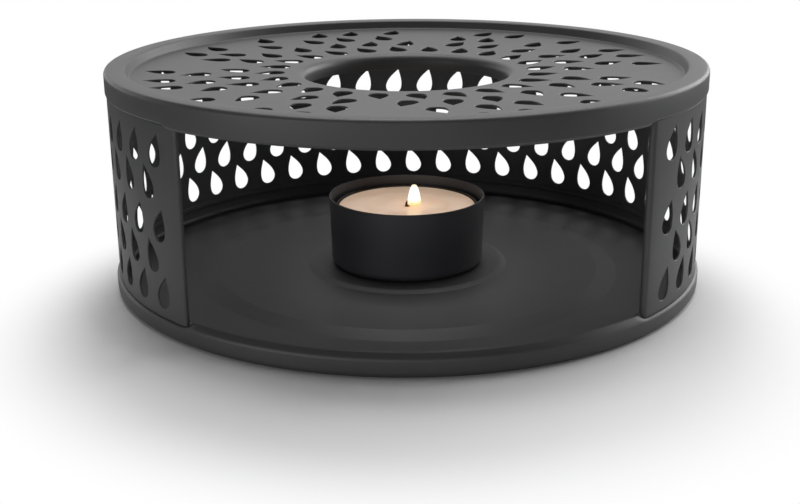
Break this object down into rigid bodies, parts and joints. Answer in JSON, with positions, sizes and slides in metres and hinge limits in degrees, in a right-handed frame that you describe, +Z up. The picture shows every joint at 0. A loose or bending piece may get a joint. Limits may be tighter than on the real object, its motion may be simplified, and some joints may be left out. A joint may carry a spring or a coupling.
{
  "type": "teapot warmer",
  "caption": "Round perforated sheet stove with a front opening, a heat opening in its top plate, and a loose cup that holds a tea light under the pot.",
  "frame": {"origin": "middle of the underside, on the surface that the warmer stands on", "axes": "+Z up through the middle of the heat opening; -Y through the middle of the open front"},
  "size_m": [0.1558, 0.1558, 0.0573],
  "materials": {
    "powder_coat": "fine satin black powder coat",
    "cup_coat": "fine satin black powder coat",
    "shell_lacquer": "dark lacquered thin metal",
    "paraffin_wax": "soft satin wax, molten round the wick",
    "cotton_wick": "charred braided cotton",
    "tinplate": "thin bright pressed metal"
  },
  "bodies": {
    "body": {"base_tray": "powder_coat", "perforated_wall": "powder_coat", "top_plate": "powder_coat"},
    "holder": {"tea_light_holder": "cup_coat"},
    "tea_light": {"tea_light_shell": "shell_lacquer", "tea_light_wax": "paraffin_wax", "tea_light_wick": "cotton_wick", "wick_sustainer": "tinplate"}
  },
  "joints": [
    {"name": "holder_draw", "type": "slide", "parent": "body", "child": "holder", "axis": [0, -0.9945, 0.1045], "range_m": [0, 0.125]},
    {"name": "tea_light_lift", "type": "slide", "parent": "holder", "child": "tea_light", "axis": [0, 0, 1], "range_m": [0, 0.02]}
  ]
}
